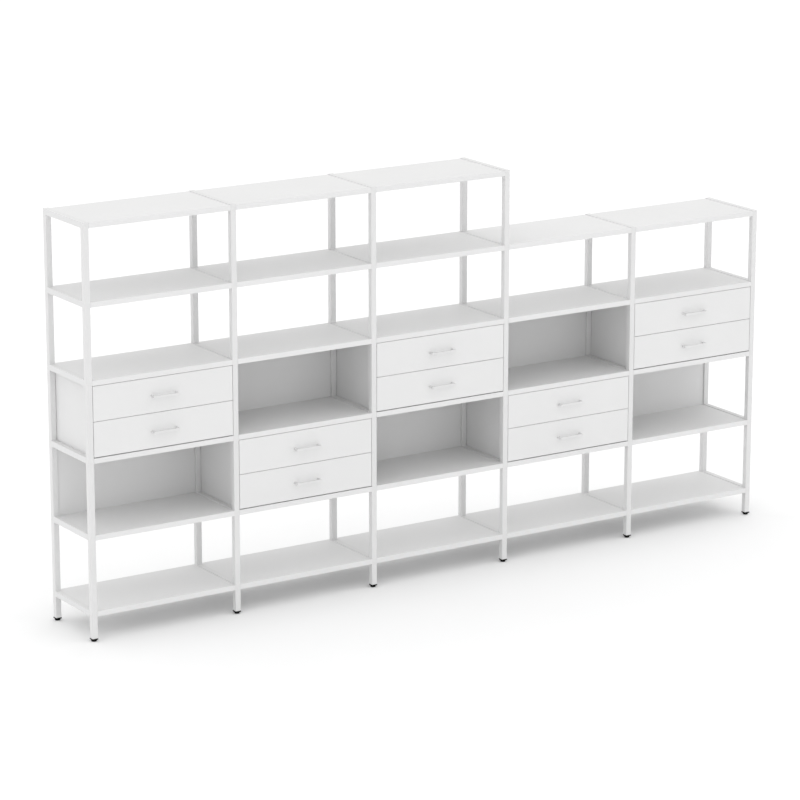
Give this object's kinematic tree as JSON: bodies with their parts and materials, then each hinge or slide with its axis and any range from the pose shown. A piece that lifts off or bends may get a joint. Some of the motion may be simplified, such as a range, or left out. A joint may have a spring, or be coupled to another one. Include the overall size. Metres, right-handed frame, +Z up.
{
  "type": "modular shelving unit with drawers",
  "caption": "Long white modular shelving: square-tube ladder frames with board shelves, a tall and a lower section, backed open boxes and cases with sliding drawers.",
  "frame": {"origin": "on the floor, at the middle of the whole unit's width and of its depth over the handles and feet", "axes": "+X runs along the row from the tall section to the low one, the open front and the drawers face -Y, +Z is up"},
  "size_m": [3.885, 0.431, 1.9995],
  "materials": {
    "frame_paint": "fine matt white powder coat",
    "shelf_board": "white melamine-faced board, satin",
    "panel_board": "white melamine-faced board, satin",
    "front_board": "white melamine-faced board, satin, edged",
    "drawer_board": "white melamine-faced board, satin",
    "runner_paint": "white epoxy-coated steel",
    "glide_nylon": "natural white nylon",
    "handle_metal": "satin anodised, pale silver",
    "pin_steel": "zinc-plated steel",
    "foot_plastic": "black moulded plastic, matt"
  },
  "bodies": {
    "frame": {"upright_1": "frame_paint", "upright_2": "frame_paint", "upright_3": "frame_paint", "upright_4": "frame_paint", "upright_5": "frame_paint", "upright_6": "frame_paint", "feet": "foot_plastic", "shelf_pins": "pin_steel", "bay_1_shelves": "shelf_board", "bay_2_shelves": "shelf_board", "bay_3_shelves": "shelf_board", "bay_4_shelves": "shelf_board", "bay_5_shelves": "shelf_board", "open_box_backs": "panel_board", "drawer_case_1": "panel_board", "drawer_case_2": "panel_board", "drawer_case_3": "panel_board", "drawer_case_4": "panel_board", "drawer_case_5": "panel_board", "runner_channels": "runner_paint"},
    "drawer_1_lower": {"drawer_1_lower_front": "front_board", "drawer_1_lower_box": "drawer_board", "drawer_1_lower_glides": "glide_nylon", "drawer_1_lower_handle": "handle_metal"},
    "drawer_1_upper": {"drawer_1_upper_front": "front_board", "drawer_1_upper_box": "drawer_board", "drawer_1_upper_glides": "glide_nylon", "drawer_1_upper_handle": "handle_metal"},
    "drawer_2_lower": {"drawer_2_lower_front": "front_board", "drawer_2_lower_box": "drawer_board", "drawer_2_lower_glides": "glide_nylon", "drawer_2_lower_handle": "handle_metal"},
    "drawer_2_upper": {"drawer_2_upper_front": "front_board", "drawer_2_upper_box": "drawer_board", "drawer_2_upper_glides": "glide_nylon", "drawer_2_upper_handle": "handle_metal"},
    "drawer_3_lower": {"drawer_3_lower_front": "front_board", "drawer_3_lower_box": "drawer_board", "drawer_3_lower_glides": "glide_nylon", "drawer_3_lower_handle": "handle_metal"},
    "drawer_3_upper": {"drawer_3_upper_front": "front_board", "drawer_3_upper_box": "drawer_board", "drawer_3_upper_glides": "glide_nylon", "drawer_3_upper_handle": "handle_metal"},
    "drawer_4_lower": {"drawer_4_lower_front": "front_board", "drawer_4_lower_box": "drawer_board", "drawer_4_lower_glides": "glide_nylon", "drawer_4_lower_handle": "handle_metal"},
    "drawer_4_upper": {"drawer_4_upper_front": "front_board", "drawer_4_upper_box": "drawer_board", "drawer_4_upper_glides": "glide_nylon", "drawer_4_upper_handle": "handle_metal"},
    "drawer_5_lower": {"drawer_5_lower_front": "front_board", "drawer_5_lower_box": "drawer_board", "drawer_5_lower_glides": "glide_nylon", "drawer_5_lower_handle": "handle_metal"},
    "drawer_5_upper": {"drawer_5_upper_front": "front_board", "drawer_5_upper_box": "drawer_board", "drawer_5_upper_glides": "glide_nylon", "drawer_5_upper_handle": "handle_metal"}
  },
  "joints": [
    {"name": "drawer_1_lower_slide", "type": "slide", "parent": "frame", "child": "drawer_1_lower", "axis": [0, -1, 0], "range_m": [0, 0.25]},
    {"name": "drawer_1_upper_slide", "type": "slide", "parent": "frame", "child": "drawer_1_upper", "axis": [0, -1, 0], "range_m": [0, 0.25]},
    {"name": "drawer_2_lower_slide", "type": "slide", "parent": "frame", "child": "drawer_2_lower", "axis": [0, -1, 0], "range_m": [0, 0.25]},
    {"name": "drawer_2_upper_slide", "type": "slide", "parent": "frame", "child": "drawer_2_upper", "axis": [0, -1, 0], "range_m": [0, 0.25]},
    {"name": "drawer_3_lower_slide", "type": "slide", "parent": "frame", "child": "drawer_3_lower", "axis": [0, -1, 0], "range_m": [0, 0.25]},
    {"name": "drawer_3_upper_slide", "type": "slide", "parent": "frame", "child": "drawer_3_upper", "axis": [0, -1, 0], "range_m": [0, 0.25]},
    {"name": "drawer_4_lower_slide", "type": "slide", "parent": "frame", "child": "drawer_4_lower", "axis": [0, -1, 0], "range_m": [0, 0.25]},
    {"name": "drawer_4_upper_slide", "type": "slide", "parent": "frame", "child": "drawer_4_upper", "axis": [0, -1, 0], "range_m": [0, 0.25]},
    {"name": "drawer_5_lower_slide", "type": "slide", "parent": "frame", "child": "drawer_5_lower", "axis": [0, -1, 0], "range_m": [0, 0.25]},
    {"name": "drawer_5_upper_slide", "type": "slide", "parent": "frame", "child": "drawer_5_upper", "axis": [0, -1, 0], "range_m": [0, 0.25]}
  ]
}
